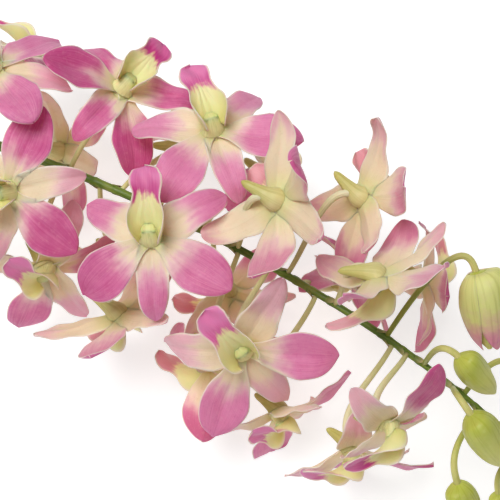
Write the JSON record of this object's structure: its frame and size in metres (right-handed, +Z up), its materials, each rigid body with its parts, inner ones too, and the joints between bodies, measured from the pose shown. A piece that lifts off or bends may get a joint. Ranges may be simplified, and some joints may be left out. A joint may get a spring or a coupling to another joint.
{
  "type": "dendrobium orchid stem",
  "caption": "Cut dendrobium orchid stem lying on its side: open pink and cream blooms round its upper half, stalked buds towards the tip and a bare sheathed foot.",
  "frame": {"origin": "on the surface that the stem lies on, under the middle of its box", "axes": "+X along the stem from its cut end to its tip, +Z up from the surface, +Y across the stem"},
  "size_m": [0.4936, 0.1452, 0.1295],
  "materials": {
    "petal": "soft waxy petal, pink fading to cream",
    "lip": "soft waxy lip, yellow-green throat and magenta lobe",
    "bud": "smooth waxy bud, yellow-green with a pink tip",
    "stem": "smooth green stem with pale papery sheaths"
  },
  "bodies": {
    "root": {"bloom_01": "petal", "bloom_02": "petal", "bloom_03": "petal", "bloom_04": "petal", "bloom_05": "petal", "bloom_06": "petal", "bloom_07": "petal", "bloom_08": "petal", "bloom_09": "petal", "bloom_10": "petal", "bloom_11": "petal", "bloom_12": "petal", "bloom_13": "petal", "bloom_14": "petal", "bloom_15": "petal", "bloom_16": "petal", "bloom_17": "petal", "bloom_18": "petal", "bloom_19": "petal", "bloom_20": "petal", "bloom_21": "petal", "bloom_22": "petal", "bloom_23": "petal", "bloom_24": "petal", "lip_01": "lip", "lip_02": "lip", "lip_03": "lip", "lip_04": "lip", "lip_05": "lip", "lip_06": "lip", "lip_07": "lip", "lip_08": "lip", "lip_09": "lip", "lip_10": "lip", "lip_11": "lip", "lip_12": "lip", "lip_13": "lip", "lip_14": "lip", "lip_15": "lip", "lip_16": "lip", "lip_17": "lip", "lip_18": "lip", "lip_19": "lip", "lip_20": "lip", "lip_21": "lip", "lip_22": "lip", "lip_23": "lip", "lip_24": "lip", "bud_01": "bud", "bud_02": "bud", "bud_03": "bud", "bud_04": "bud", "bud_05": "bud", "bud_06": "bud", "bud_07": "bud", "bud_08": "bud", "stem": "stem"}
  },
  "joints": []
}
